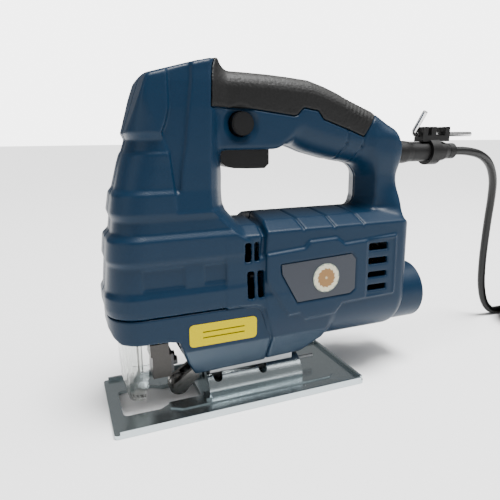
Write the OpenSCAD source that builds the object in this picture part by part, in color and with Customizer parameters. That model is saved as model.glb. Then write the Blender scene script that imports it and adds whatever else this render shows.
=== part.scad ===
// Corded hand jigsaw with a bow handle, built as an assembly of separate pieces.
// +X is the cutting direction, +Y is the operator's left and +Z is up.
// The origin is the centre of the sole plate's underside. All sizes are in millimetres.

/* [Sole and tilt] */
// Length of the sole plate
sole_l = 157; // [154:1:158]
// Width of the sole plate
sole_w = 65; // [64:0.5:66]
// Thickness of the sole plate's sheet
sole_t = 2.2; // [2:0.1:2.4]
// Height of the turned-up lips of the sole plate
lip_h = 4.2; // [3.6:0.1:4.4]
// Outer radius of the half-round base bracket
bracket_r = 14.8; // [14.6:0.1:15]
// Height of the tilt axis above the sole's underside
tilt_z = 2.5; // [2.4:0.1:2.6]
// Largest tilt of the sole to either side, in degrees
tilt_max = 45; // [30:5:45]

/* [Casing] */
// Wall thickness of the plastic casing
wall = 2.5; // [2.2:0.1:2.6]
// Half width of the motor housing
motor_half_w = 30; // [29.8:0.1:30.5]
// Half width of the handle
handle_half_w = 17; // [16.8:0.1:18]
// Thickness of the rubber grip skin
grip_t = 2; // [1.6:0.2:2]
// Height of the parting line above which the casing halves begin
shroud_top = 62.5; // [62:0.1:63]

/* [Motor and gears] */
// Height of the motor axis
motor_z = 74; // [73.8:0.1:74.2]
// Gear module
gear_m = 0.8; // [0.8]
// Teeth on the pinion that is cut on the motor shaft
pinion_teeth = 8; // [8]
// Teeth on the drive gear
gear_teeth = 54; // [54]
// Outer diameter of the motor's field core
stator_d = 50; // [49:0.5:50]

/* [Blade drive] */
// Stroke of the blade
stroke = 18; // [16:1:18]
// Distance of the plunger axis in front of the sole's centre
plunger_x = 46; // [45.8:0.1:46.2]
// Diameter of the plunger rod
plunger_d = 9; // [8:0.5:9]
// Radial clearance of running fits
run_gap = 0.05; // [0.03:0.01:0.08]

/* [Dust port] */
// Outer diameter of the dust port
port_od = 40; // [39:0.5:41]
// Inner diameter of the dust port
port_id = 35; // [34:0.5:35]
// Height of the dust port's axis
port_z = 48.5; // [48:0.5:49]

/* [Controls] */
// Travel of the trigger
trigger_travel = 5.5; // [4:0.5:5.5]
// Travel of the lock button
lock_travel = 3; // [2:0.5:3]

/* [Cord] */
// Diameter of the mains cord
cord_d = 6; // [6]

/* [Hidden] */
$fn = 48;

casing_colour = [0.12, 0.24, 0.38];
rubber_colour = [0.09, 0.09, 0.1];
steel_colour = [0.72, 0.74, 0.76];
alu_colour = [0.62, 0.63, 0.65];
copper_colour = [0.72, 0.4, 0.2];
far = 400;

// Places along the motor and drive, front to back
gear_z = motor_z + gear_m * (pinion_teeth + gear_teeth) / 2;
gear_x = [14, 23];
pinion_x = [11, 25.5];
front_bearing_x = [1, 8];
fan_x = [-14, -4];
armature_x = [-77, -39];
stator_x = [-76, -40];
commutator_x = [-98, -87];
brush_x = [-96, -89];
rear_bearing_x = [-106, -100];
crank_r = stroke / 2;
duct_z = 41.5;
duct_r = 7;
plunger_r = plunger_d / 2;
bushing_r = 7;
clamp_screw_x = [13.5, -16.4];
roller_at = [36, 8.5];
relief_z = 145.5;
key_z = 157;
key_lean = 38;
lock_at = [-2, 163.2];
lock_inner_y = 13.4;
trigger_top = 151.8;

// ---------- helpers ----------

// A shape drawn in (x, z), extruded along Y from y0 to y1
module slab_y(y0, y1) translate([0, y1, 0]) rotate([90, 0, 0]) linear_extrude(y1 - y0) children();

// A shape drawn in (y, z), extruded along X from x0 to x1
module slab_x(x0, x1) translate([x0, 0, 0]) rotate([90, 0, 90]) linear_extrude(x1 - x0) children();

// A shape drawn in (x, y), extruded along Z from z0 to z1
module slab_z(z0, z1) translate([0, 0, z0]) linear_extrude(z1 - z0) children();

module rod_x(x0, x1, r, y = 0, z = 0, sides = 48)
    translate([x0, y, z]) rotate([0, 90, 0]) cylinder(h = x1 - x0, r = r, $fn = sides);

module rod_y(y0, y1, r, x = 0, z = 0) translate([x, y1, z]) rotate([90, 0, 0]) cylinder(h = y1 - y0, r = r);

module rod_z(z0, z1, r, x = 0, y = 0) translate([x, y, z0]) cylinder(h = z1 - z0, r = r);

module box(low, high) translate(low) cube(high - low);

module both_sides() {
    children();
    mirror([0, 1, 0]) children();
}

// A closed solid through rings of points, each ring with the same number of points
module loft(rings) {
    n = len(rings[0]);
    last = (len(rings) - 1) * n;
    polyhedron(
        points = [for (ring = rings) each ring],
        faces = [
            [for (i = [0 : n - 1]) i],
            [for (i = [n - 1 : -1 : 0]) last + i],
            for (k = [0 : len(rings) - 2], i = [0 : n - 1])
                each [
                    [k * n + i, (k + 1) * n + i, (k + 1) * n + (i + 1) % n],
                    [k * n + i, (k + 1) * n + (i + 1) % n, k * n + (i + 1) % n]
                ]
        ]
    );
}

// ---------- casing shapes, all for the left half (y from 0 up) ----------

// Nose and column: height, rear x on the middle plane, front x, half width, x where the side ends
nose_rows = [
    [62.5, -12, 75.6, 27.2, -4], [66.5, -12, 76.5, 27.7, -4], [74, -12, 76.5, 27.7, -4],
    [76.5, -12, 75.2, 27, -4], [90.4, -12, 73.6, 27, -4], [93.4, -12, 74.3, 28.6, -4],
    [104.4, -6, 73.1, 28.6, 4], [107.5, -4, 70.3, 26.7, 7], [114.1, 3, 69.3, 26.1, 11],
    [118, 6.4, 70.2, 26.6, 13.5], [127.7, 6, 68.5, 26.4, 14.5], [130.3, 5.8, 66.8, 25.4, 14.5],
    [142.9, 3.5, 63, 25, 14.5], [155.4, 3, 58.7, 24.6, 14.5], [159, 3, 59.5, 24.8, 14.5],
    [170.8, 10, 55, 24, 14.5], [184, 10, 49, 22.6, 14.5], [189.6, 10, 45.6, 20.6, 14.8],
    [192.5, 9, 36.3, 19, 15], [196.2, 8, 22, 17, 15.4], [197.6, 7, 15, 13, 15.6]
];

// Half outline of the nose at one height, made smaller by t
function nose_ring(row, t) =
    let (
        z = row[0], back = row[1] + t, front = row[2] - t, w = row[3] - t,
        side_end = min(row[4] + t, front - 4), a = min(19 - t, (front - side_end) * 0.6), b = 0.8 * w
    )
    concat(
        [[back, 0, z], [front, 0, z]],
        [for (angle = [0 : 15 : 90]) [front - a + a * cos(angle), w - b + b * sin(angle), z]],
        [[side_end, w, z], [max(side_end - 5, back + 0.5), min(w - 1, 17), z], [back, 11, z]]
    );

module nose(t, top_drop = 0)
    loft([
        for (row = nose_rows)
            nose_ring([row[0] - (row[0] > 170 ? top_drop : 0), row[1], row[2], row[3], row[4]], t)
    ]);

// Motor housing: x, half width, lowest z, highest z
motor_rows = [
    [-113, 21, 36, 103], [-111.5, 26, 31, 109], [-107, 29.2, 27.5, 112], [-60, 30, 26, 113],
    [3, 30, 26, 112]
];

// Half section of the motor housing, made smaller by t
function motor_ring(row, t) =
    let (x = row[0], w = row[1] * motor_half_w / 30 - t, low = row[2], high = row[3])
    [
        [x, 0, low + t], [x, w * 0.34, low + 2 + t], [x, w * 0.68, low + 9.5 + 0.7 * t],
        [x, w - 2, low + 20 + 0.3 * t], [x, w, low + 30], [x, w, high - 11 - 0.4 * t],
        [x, w * 0.68, high - 2.6 - t], [x, 0, high - t]
    ];

module motor_outer() loft([for (row = motor_rows) motor_ring(row, 0)]);

module motor_inner()
    loft([
        for (row = [
            motor_rows[0] + [wall, 2, -2, 2], motor_rows[2], motor_rows[3], motor_rows[4] + [8, 0, 0, 0]
        ])
            motor_ring(row, wall)
    ]);

// Handle: x, underside z, top z
handle_rows = [
    [-110, 141, 156], [-108, 136, 160.5], [-100, 132, 166.5], [-90, 135, 172.4], [-80.5, 139.2, 176.2],
    [-62, 143, 184], [-47, 147, 189], [-34, 150, 190.3], [-22, 149.5, 191.3], [0, 149.5, 193],
    [14.5, 149.5, 194.5]
];

// Half section of the handle, made smaller by t
function handle_ring(row, t) =
    let (x = row[0], low = row[1] + t, high = row[2] - t, w = handle_half_w - t, h = high - low)
    [
        [x, 0, low], [x, 0.6 * w, low + 0.02 * h], [x, 0.93 * w, low + 0.14 * h], [x, w, low + 0.32 * h],
        [x, w, low + 0.55 * h], [x, 0.9 * w, low + 0.8 * h], [x, 0.6 * w, low + 0.95 * h], [x, 0, high]
    ];

module handle(t, end_gap = 0)
    loft([
        for (row = handle_rows)
            handle_ring([row[0] + (row[0] < -105 ? end_gap : 0), row[1], row[2]], t)
    ]);

// Rear post: z, rear x, front x
post_rows = [
    [96, -111, -84], [113, -112.8, -85], [118, -113, -86.5], [131, -111.8, -86.5], [143, -110.3, -83],
    [156, -109, -74]
];

// Half outline of the rear post at one height, made smaller by t
function post_ring(row, t) =
    let (z = row[0], back = row[1] + t, front = row[2] - t, w = 16 - t)
    [
        [back, 0, z], [front, 0, z], [front, 0.55 * w, z], [front - 3.5, 0.9 * w, z], [front - 8, w, z],
        [back + 8, w, z], [back + 3, 0.85 * w, z], [back, 0.5 * w, z]
    ];

module post(t) loft([for (row = post_rows) post_ring(row, t)]);

// Lower edge of the rubber grip, in (x, z)
grip_edge = [
    [15.2, 171], [-10, 170.5], [-34.5, 167.5], [-40, 172], [-50, 170], [-53.5, 165.5], [-71, 159.5],
    [-84, 163], [-100, 158], [-112, 152]
];

module grip_zone() slab_y(-far, far) polygon(concat(grip_edge, [[-112, 210], [15.2, 210]]));

// Side outline of the front shroud, from the parting line at the nose round to the rear
shroud_outline = [
    [77, shroud_top], [75.5, 54.7], [73.9, 50.8], [70.3, 47.8], [45.8, 47.1], [39.7, 45.8], [34.4, 30.2],
    [30.9, 22.9], [28.4, 18.6], [-17, 19.8], [-16, 39], [-10.5, 57.9], [-8.5, 61], [-5.4, shroud_top]
];

// Side outline of the foot that the casing halves carry behind the shroud
foot_outline = [[-17.3, 19.8], [-41.3, 20.8], [-53.6, 31.6], [-60, 62], [-5, 62]];

// Half section of the foot, in (y, z)
function foot_section(t) =
    let (top = shroud_top + 1) [[0, top], [27.2 - t, top], [26.2 - t, 40], [13 - t, 18.4], [0, 18.4]];

module foot_space(t) slab_x(-far, far) polygon(t == 0 ? foot_section(0) : concat(foot_section(t), [[0, 10]]));

// Rounded nose plan, in (x, y)
module nose_plan(t)
    polygon(concat(
        [[-70, 0], [75.6 - t, 0]],
        [for (angle = [0 : 10 : 90]) [56.6 + (19 - t) * cos(angle), 5.4 + (21.8 - t) * sin(angle)]],
        [[-70, 27.2 - t]]
    ));

module shroud_zone(gap) slab_y(-1, far) offset_outline(gap);

// The shroud's outline with its rear and top edges moved out by a gap
module offset_outline(gap)
    polygon([
        for (p = shroud_outline)
            [
                p[0] + (p[0] < 0 ? -gap : p[0] > 60 ? 5 * gap : 0),
                p[1] + (p[1] > shroud_top - 1.4 ? gap : 0)
            ]
    ]);

// Screw places on the casing, in (x, z)
screw_at = [[30, 181], [20, 151], [64, 100], [64, 80], [-30, 104], [-92, 104], [-99, 129], [-62, 155.5]];

module at_screws() for (p = screw_at) translate([p[0], 0, p[1]]) children();

module casing_outer() {
    nose(0);
    motor_outer();
    difference() {
        handle(0);
        grip_zone();
    }
    handle(grip_t);
    post(0);
    intersection() {
        foot_space(0);
        slab_y(0, far) polygon(foot_outline);
    }
}

module casing_inner() {
    intersection() {
        nose(wall, 2);
        box([-20, -1, 60], [far, far, 195]);
    }
    motor_inner();
    handle(grip_t + wall, 3);
    post(wall);
    intersection() {
        foot_space(wall);
        slab_y(-1, far) polygon([[-10, 10], [-38.8, 10], [-50.5, 34], [-50.5, 63], [-4, 63]]);
    }
}

// Ribs and screw posts inside one half
module casing_ribs() {
    at_screws() rod_y(0.05, 29, 4.8);
    difference() {
        union() {
            box([rear_bearing_x[0] - 0.5, 0.05, 62], [rear_bearing_x[1] + 0.5, 29, 86]);
            for (x = [-72, -48]) box([x, 0.05, 50], [x + 4, 29, 105]);
        }
        rod_x(-110, -95, 9.52, z = motor_z);
        rod_x(-90, -30, stator_d / 2 + 0.03, z = motor_z);
    }
    box([0.2, 22.1, 80], [9.8, 29, 96]);
    difference() {
        box([-97, 4, 138], [-88, 14, 148.1]);
        rod_z(130, 150, 1.52, -92.5, 7.5);
    }
}

// Openings that both halves have: vents, trigger slot, cord exit and dust port
module casing_cuts() {
    for (band = [[61.2, 65], [69.7, 73.3], [78.2, 82.3], [87.1, 91.6]])
        box([-94.5, 20, band[0]], [-80.5, far, band[1]]);
    for (slot = [
        [-2.8, 1, 88, 99], [-7.8, -4.8, 88, 99], [-4.4, -0.4, 66.5, 82.3], [-10.4, -6.6, 66.5, 82.3]
    ])
        box([slot[0], 20, slot[2]], [slot[1], far, slot[3]]);
    box([-22.6, -1, 140], [8.6, 9.4, trigger_top + trigger_travel + 0.7]);
    rod_x(-125, -103, 7.55, z = relief_z);
    rod_x(-125, -103.5, port_od / 2 + 0.05, z = port_z);
    shroud_zone(0.25);
    intersection() {
        box([-60, -1, 10], [75, far, 18.5]);
        foot_space(0);
    }
}

module casing_half() {
    difference() {
        union() {
            difference() {
                casing_outer();
                casing_inner();
            }
            intersection() {
                casing_outer();
                casing_ribs();
            }
        }
        casing_cuts();
    }
}

plate_outline = [[-20, 85], [-67.5, 87], [-70.5, 83.5], [-70.5, 64.5], [-67, 62], [-30.5, 61], [-20.4, 79.5]];

module housing_left() color(casing_colour) difference() {
    casing_half();
    at_screws() rod_y(-1, 20, 1.5);
    slab_y(motor_half_w - 0.6, far) polygon(plate_outline);
    rod_y(0, far, 6.6, lock_at[0], lock_at[1]);
}

module housing_right() color(casing_colour) difference() {
    mirror([0, 1, 0]) casing_half();
    at_screws() {
        rod_y(-far, 1, 2.1);
        rod_y(-far, -12, 3.8);
    }
    box([-70, -far, 62], [-25, 0.6 - motor_half_w, 86]);
}

module housing_screws() color(steel_colour) at_screws() {
    rod_y(-12.3, 9, 1.45);
    difference() {
        rod_y(-15, -12.1, 3.5);
        rod_y(-16, -13.5, 1.4);
    }
}

module shroud_half(t) intersection() {
    foot_space(t);
    slab_z(0, 100) nose_plan(t);
}

module front_shroud() color(casing_colour) both_sides() difference() {
    intersection() {
        shroud_half(0);
        slab_y(0, far) polygon(shroud_outline);
    }
    intersection() {
        shroud_half(wall);
        slab_y(-1, far) polygon([
            [80, 70], [80, 49.6], [37.5, 49.6], [31.5, 30.6], [28, 23], [26, 10], [-20, 10], [-20, 70]
        ]);
    }
    box([30, -1, 30], [66, 12.2, 55]);
    box([5, -1, 10], [40, 10.2, 45]);
}

module grip_left() color(rubber_colour) difference() {
    intersection() {
        handle(0);
        grip_zone();
    }
    handle(grip_t);
    nose(-0.05);
    box([-120, -1, 100], [-108.5, 40, 200]);
}

module grip_right() color(rubber_colour) mirror([0, 1, 0]) grip_left();

// Clear guard in front of the blade: height, rear x, front x, half width
guard_rows = [
    [4.5, 57.5, 66, 6.5], [10, 57, 67.5, 9], [20, 56, 69.5, 13], [32, 55.5, 70, 17], [47, 55, 70.3, 19.5]
];
guard_t = 1.6;

function guard_ring(z, back, front, w) = concat(
    [[back, -w, z]],
    [for (angle = [-90 : 15 : 90]) [front - 9 + 9 * cos(angle), w * sin(angle), z]],
    [[back, w, z]]
);

module blade_guard() color([0.85, 0.9, 0.92, 0.4]) difference() {
    loft([for (g = guard_rows) guard_ring(g[0], g[1], g[2], g[3])]);
    loft([
        for (g = guard_rows)
            guard_ring(
                g[0] + (g[0] < 6 ? 1.5 : g[0] > 40 ? 1 : 0), g[1] - 4, g[2] - guard_t, g[3] - guard_t
            )
    ]);
}

module touch_pin() color(steel_colour) rod_z(20.7, 58, 1.5, 58.5);

module dust_port() color(casing_colour) difference() {
    rod_x(-133.5, -108.2, port_od / 2, z = port_z);
    rod_x(-140, -111, port_id / 2, z = port_z);
    rod_x(-140, -100, duct_r + 0.02, z = duct_z);
}

module dust_duct() color(rubber_colour) difference() {
    rod_x(-110.8, -38.2, duct_r, z = duct_z);
    rod_x(-120, -30, duct_r - 1.2, z = duct_z);
}

module name_plate() color([0.13, 0.22, 0.32]) slab_y(motor_half_w - 0.6, motor_half_w + 0.1)
    translate([-45.5, 74]) scale(0.985) translate([45.5, -74]) polygon(plate_outline);

module emblem_disc() color([0.9, 0.85, 0.7])
    rod_y(motor_half_w + 0.1, motor_half_w + 0.5, 8.8, -49.6, motor_z);

module rating_plate() color([0.75, 0.76, 0.78])
    box([-69.6, -motor_half_w - 0.05, 62.4], [-25.4, 0.6 - motor_half_w, 85.6]);

module yellow_sticker() color([0.9, 0.85, 0.05]) intersection() {
    slab_x(-10, 40) polygon([[26.25, 40], [26.6, 40], [27.6, shroud_top + 1], [27.25, shroud_top + 1]]);
    slab_y(0, far) sticker_outline();
}

// Outline of the sticker with round corners, in (x, z)
module sticker_outline() union() {
    polygon([[-3.3, 42.4], [31.8, 42.4], [31.8, 55.6], [-3.3, 55.6]]);
    polygon([[-5.8, 44.9], [34.3, 44.9], [34.3, 53.1], [-5.8, 53.1]]);
    for (x = [-3.3, 31.8], z = [44.9, 53.1]) translate([x, z]) circle(r = 2.5);
}

// ---------- base ----------

// Outline of the blade opening in the sole, in (x, y)
module blade_opening() {
    polygon([
        [24.5, -11], [44, -11], [50, -15], [68.5, -15], [71.5, -12], [71.5, 12], [68.5, 15], [50, 15],
        [44, 11], [24.5, 11]
    ]);
    for (y = [-12, 12]) translate([68.5, y]) circle(r = 3);
}

module sole_plate() color(steel_colour) difference() {
    union() {
        slab_z(0, sole_t) square([sole_l - 4, sole_w], center = true);
        slab_z(0, sole_t) square([sole_l, sole_w - 4], center = true);
        for (x = [2 - sole_l / 2, sole_l / 2 - 2], y = [2 - sole_w / 2, sole_w / 2 - 2])
            rod_z(0, sole_t, 2, x, y);
        slab_z(sole_t - 0.1, sole_t + 0.8)
            polygon([[-64, -17], [-60, -21], [38, -21], [45, -17], [45, 17], [38, 21], [-60, 21], [-64, 17]]);
        both_sides() box([2 - sole_l / 2, sole_w / 2 - 1.8, 0], [sole_l / 2 - 3, sole_w / 2, lip_h]);
        box([-sole_l / 2, 2 - sole_w / 2, 0], [1.8 - sole_l / 2, sole_w / 2 - 2, lip_h]);
    }
    slab_z(-1, 10) blade_opening();
    for (x = clamp_screw_x) rod_z(-1, 10, 5.5, x);
}

// A sector of a ring round the tilt axis, from x0 to x1, reaching half_angle to each side of straight up
module tilt_sector(x0, x1, r0, r1, half_angle)
    translate([x0, 0, tilt_z]) rotate([0, 90, 0])
        rotate([0, 0, 180 - half_angle]) rotate_extrude(angle = 2 * half_angle, $fn = 96)
            translate([r0, 0]) square([r1 - r0, x1 - x0]);

bracket_inner_r = bracket_r - 2;

module base_bracket() color(steel_colour) difference() {
    union() {
        intersection() {
            difference() {
                rod_x(-43, 20, bracket_r, z = tilt_z, sides = 96);
                rod_x(-50, 18.6, bracket_inner_r, z = tilt_z, sides = 96);
            }
            box([-60, -20, sole_t + 0.8], [30, 20, 30]);
        }
        both_sides() box([20, 11, sole_t + 0.8], [23.6, 19, sole_t + 2.6]);
    }
    for (x = clamp_screw_x) {
        tilt_sector(x - 2.8, x + 2.8, 10, 18, tilt_max + 2);
        for (side = [-1, 1])
            translate([x, 0, tilt_z]) rotate([side * (tilt_max + 2), 0, 0]) cylinder(h = 20, r = 2.8);
    }
    rod_x(10, 30, 3, z = 10.5);
}

module clamp_saddle() color(alu_colour) difference() {
    union() {
        tilt_sector(-24, 18, bracket_inner_r - 3.2, bracket_inner_r - 0.3, 35);
        box([-26, -2, 8], [-23.5, 2, 13.5]);
        rod_x(-58, -25.9, 1.2, z = 9.5);
    }
    for (x = clamp_screw_x) {
        rod_z(0, 30, 2.6, x);
        rod_z(0, 12.4, 4.4, x);
    }
}

module clamp_screws() color([0.2, 0.2, 0.22]) for (x = clamp_screw_x) difference() {
    union() {
        rod_z(7.9, 12.4, 4.2, x);
        rod_z(12.3, 32, 2.48, x);
    }
    translate([x, 0, 7]) cylinder(h = 3.4, r = 2.31, $fn = 6);
}

// ---------- blade drive ----------

module gearbox_casting() color(alu_colour) difference() {
    union() {
        slab_x(0, 10) polygon([
            [-20, 50], [-22, 56], [-22, 97], [-16, 104], [-9.5, 107], [9.5, 107], [16, 104], [22, 97],
            [22, 56], [20, 50]
        ]);
        box([9.4, -9.5, 95], [12.8, 9.5, 138]);
        slab_x(-38, 18) polygon([
            [-8.4, 10], [-8.4, 22], [-11, 26], [-11, 50], [11, 50], [11, 26], [8.4, 22], [8.4, 10]
        ]);
        box([9, -11, 49], [18, 11, 68.5]);
        box([9, -10, 58], [57, 10, 68.5]);
        rod_z(57.5, 70, 10.5, plunger_x);
        box([9.4, -9.5, 126], [57, 9.5, 138]);
        rod_z(124.5, 139, 10.5, plunger_x);
        box([55.5, -8, 58], [58, 8, 138]);
    }
    rod_x(-50, 30, bracket_r + 0.3, z = tilt_z, sides = 96);
    rod_x(-50, 30, duct_r - 0.9, z = duct_z);
    for (x = clamp_screw_x) rod_z(10, 33, 2.5, x);
    rod_x(front_bearing_x[0] - 2, front_bearing_x[1], 11.01, z = motor_z);
    rod_x(0, 12, 6, z = motor_z);
    rod_x(-1, 14, 4.01, z = gear_z);
    for (z = [50, 120]) rod_z(z, z + 30, bushing_r + 0.01, plunger_x);
    rod_z(50, 62, 1.52, 58.5);
    rod_x(15, 19, 1.8, z = 26);
}

module bushing(z0, z1) color([0.7, 0.55, 0.3]) difference() {
    rod_z(z0, z1, bushing_r, plunger_x);
    rod_z(z0 - 1, z1 + 1, plunger_r + run_gap, plunger_x);
}

module lower_bushing() bushing(57.5, 70);
module upper_bushing() bushing(124.5, 139);

yoke_z = gear_z - crank_r;

module plunger_rod() color(steel_colour) rod_z(32, 146, plunger_r, plunger_x);

module plunger_yoke() color(steel_colour) difference() {
    union() {
        box([34.4, -17.5, yoke_z - 8.6], [38.9, 17.5, yoke_z + 8.6]);
        box([38.8, -7, yoke_z - 8], [plunger_x + 7, 7, yoke_z + 8]);
    }
    slab_x(30, 38.9) {
        square_slot = 10.4;
        translate([-9, yoke_z - square_slot / 2]) square([18, square_slot]);
        for (y = [-9, 9]) translate([y, yoke_z]) circle(r = square_slot / 2);
    }
    rod_z(60, 120, plunger_r + 0.01, plunger_x);
}

module blade_holder() color(steel_colour) difference() {
    union() {
        box([plunger_x - 5, -6, 17], [plunger_x + 6, 6, 31]);
        box([plunger_x - 4, -6.5, 30.9], [plunger_x + 7, 6.5, 38.5]);
    }
    box([plunger_x - 3.5, -0.8, 15], [plunger_x + 4.5, 0.8, 30.5]);
    rod_z(31.9, 40, plunger_r + 0.01, plunger_x);
    for (y = [-3.6, 3.6]) rod_x(plunger_x - 10, plunger_x + 3, 1.52, y, 26);
}

module blade_clamp_plate() color([0.15, 0.15, 0.16]) difference() {
    box([plunger_x - 6.5, -6, 20], [plunger_x - 5.05, 6, 31]);
    for (y = [-3.6, 3.6]) rod_x(plunger_x - 10, plunger_x, 1.6, y, 26);
}

module blade_clamp_screws() color([0.2, 0.2, 0.22]) for (y = [-3.6, 3.6]) difference() {
    union() {
        rod_x(plunger_x - 8.8, plunger_x - 6.5, 2.7, y, 26);
        rod_x(plunger_x - 6.6, plunger_x + 2.8, 1.48, y, 26);
    }
    rod_x(plunger_x - 10, plunger_x - 7.6, 1.3, y, 26, 6);
}

module roller_fork() color([0.25, 0.25, 0.27]) difference() {
    union() {
        slab_y(-6.5, 6.5) polygon([
            [18.1, 18.6], [18.1, 31], [21, 31], [25, 21], [28, 21], [28, 12.5], [24.4, 12.5], [24.4, 18.6]
        ]);
        both_sides() slab_y(4, 6.5) union() {
            polygon([[26, 20.5], [37, 12.9], [34, 4.5], [26, 11.8]]);
            translate(roller_at) circle(r = 4.5);
        }
    }
    rod_y(-10, 10, 2.01, roller_at[0], roller_at[1]);
    rod_x(10, 30, 1.6, z = 26);
}

module guide_roller() color(steel_colour) translate([roller_at[0], 0, roller_at[1]]) rotate([90, 0, 0])
    rotate_extrude()
        polygon([[2.05, -3.5], [6.3, -3.5], [6.3, -0.9], [5.2, 0], [6.3, 0.9], [6.3, 3.5], [2.05, 3.5]]);

module roller_pin() color(steel_colour) rod_y(-6.9, 6.9, 2, roller_at[0], roller_at[1]);

// Angle, in degrees, that an involute from the base circle has turned at radius r
function involute(base_r, r) = let (t = sqrt(max(0, pow(r / base_r, 2) - 1))) t * 180 / PI - atan(t);

// One spur gear with profile shift and slightly thinned teeth
module spur(teeth, shift, x0, x1, addendum = 0.9, backlash = 0.06) {
    pitch_r = gear_m * teeth / 2;
    base_r = pitch_r * cos(20);
    tip_r = pitch_r + gear_m * (addendum + shift);
    root_r = pitch_r - gear_m * (1.25 - shift);
    half_tooth = 90 / teeth + atan(2 * shift * tan(20) / teeth) - backlash / pitch_r * 180 / PI;
    lead = involute(base_r, pitch_r);
    start_r = max(root_r, base_r);
    radii = [for (k = [0 : 4]) start_r + (tip_r - start_r) * k / 4];
    slab_x(x0, x1) polygon([
        for (n = [0 : teeth - 1]) let (mid = 360 / teeth * n) each concat(
            [root_r * [cos(mid - half_tooth - lead), sin(mid - half_tooth - lead)]],
            [for (r = radii) let (a = mid - half_tooth - lead + involute(base_r, r)) r * [cos(a), sin(a)]],
            [
                for (k = [4 : -1 : 0])
                    let (r = radii[k], a = mid + half_tooth + lead - involute(base_r, r)) r * [cos(a), sin(a)]
            ],
            [root_r * [cos(mid + half_tooth + lead), sin(mid + half_tooth + lead)]]
        )
    ]);
}

module drive_gear() color([0.5, 0.5, 0.52]) translate([0, 0, gear_z]) difference() {
    union() {
        rotate([90 + 180 / gear_teeth, 0, 0]) spur(gear_teeth, -0.4, gear_x[0], gear_x[1]);
        rod_x(gear_x[0] - 1, gear_x[1] + 0.5, 7);
        rod_x(gear_x[0], 33.9, 3, z = -crank_r);
    }
    rod_x(0, 40, 4 + run_gap);
    for (angle = [60, 120, 240, 300]) rotate([angle, 0, 0]) rod_x(0, 40, 3.5, z = -13);
}

module gear_shaft() color(steel_colour) rod_x(0, 24.6, 4, z = gear_z);

module gear_retaining_ring() color([0.2, 0.2, 0.22]) difference() {
    rod_x(23.6, 24.4, 6, z = gear_z);
    rod_x(20, 30, 4.01, z = gear_z);
    box([20, -1.5, gear_z], [30, 1.5, gear_z + 10]);
}

module crank_roller() color(steel_colour) difference() {
    rod_x(25.6, 34, 5, z = yoke_z);
    rod_x(20, 40, 3.03, z = yoke_z);
}

// ---------- motor ----------

module armature_shaft() color(steel_colour) translate([0, 0, motor_z]) {
    rod_x(rear_bearing_x[0], rear_bearing_x[1] + 1, 3.5);
    rod_x(rear_bearing_x[1] + 0.5, pinion_x[0] - 0.5, 4);
    rod_x(pinion_x[0] - 1, pinion_x[0] + 1, 2.3);
    rotate([90, 0, 0]) spur(pinion_teeth, 0.4, pinion_x[0] - 0.1, pinion_x[1], 0.6);
}

slots = 12;

// Evenly spaced winding slots of the armature
module armature_slots(gap) for (k = [0 : slots - 1])
    rotate([k * 360 / slots, 0, 0])
        box([armature_x[0] - 1, -1.4 - gap, 8.5 - gap], [armature_x[1] + 1, 1.4 + gap, 13]);

module armature_core() color([0.35, 0.35, 0.37]) translate([0, 0, motor_z]) difference() {
    rod_x(armature_x[0], armature_x[1], 14.6);
    rod_x(-90, 0, 4.01);
    armature_slots(0.05);
    for (k = [0 : slots - 1]) rotate([k * 360 / slots, 0, 0]) box([-90, -0.7, 12.9], [0, 0.7, 16]);
}

module armature_winding() color(copper_colour) translate([0, 0, motor_z]) difference() {
    union() {
        armature_slots(0);
        rod_x(armature_x[1] + 0.05, armature_x[1] + 7, 12.8);
        rod_x(armature_x[0] - 8, armature_x[0] - 0.05, 12.8);
    }
    rod_x(-100, 0, 4.3);
}

module commutator() color(copper_colour) translate([0, 0, motor_z]) difference() {
    union() {
        rod_x(commutator_x[0], commutator_x[1], 9.5);
        rod_x(commutator_x[1] - 2, commutator_x[1], 10.5);
    }
    rod_x(-110, 0, 4.01);
    for (k = [0 : 23]) rotate([k * 15, 0, 0]) box([-110, -0.25, 8.6], [0, 0.25, 12]);
}

module cooling_fan() color([0.16, 0.16, 0.17]) translate([0, 0, motor_z]) difference() {
    union() {
        rod_x(fan_x[0], fan_x[1], 6.5);
        rod_x(fan_x[0], fan_x[0] + 1.6, 21.3);
        for (k = [0 : 8])
            rotate([k * 40, 0, 0]) box([fan_x[0] + 1, -0.7, 5.5], [fan_x[1] - 0.6, 0.7, 20.5]);
    }
    rod_x(-40, 10, 4.01);
}

module bearing(x0, x1, inner_r, outer_r) color(steel_colour) translate([0, 0, motor_z]) difference() {
    rod_x(x0, x1, outer_r);
    rod_x(x0 - 1, x1 + 1, inner_r);
    for (x = [x0 - 1, x1 - 0.5]) difference() {
        rod_x(x, x + 1.5, outer_r - 2);
        rod_x(x - 1, x + 3, inner_r + 1.8);
    }
}

module front_bearing() bearing(front_bearing_x[0], front_bearing_x[1], 4.03, 11);
module rear_bearing() bearing(rear_bearing_x[0], rear_bearing_x[1] , 3.53, 9.5);

// The two coils' slots in the field core, as bars along X; gap makes them larger
module field_bars(gap) for (side = [-1, 1], turn = [-1, 1])
    rotate([side * 90 + turn * 42, 0, 0])
        box([stator_x[0] - 1, -3 - gap, 15 - gap], [stator_x[1] + 1, 3 + gap, 21.5 + gap]);

module stator_core() color([0.4, 0.4, 0.42]) translate([0, 0, motor_z]) difference() {
    rod_x(stator_x[0], stator_x[1], stator_d / 2);
    rod_x(-90, 0, 15.3);
    field_bars(0.1);
}

module field_coils() color(copper_colour) translate([0, 0, motor_z]) difference() {
    union() {
        field_bars(0);
        for (
            ends = [[stator_x[0] - 6, stator_x[0] - 0.1], [stator_x[1] + 0.1, stator_x[1] + 6]],
            side = [-1, 1]
        )
            translate([ends[0], 0, 0]) rotate([0, 90, 0]) rotate([0, 0, side * 90 - 50])
                rotate_extrude(angle = 100) translate([16, 0]) square([6.5, ends[1] - ends[0]]);
    }
    rod_x(-90, -30, 15.2);
}

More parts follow.
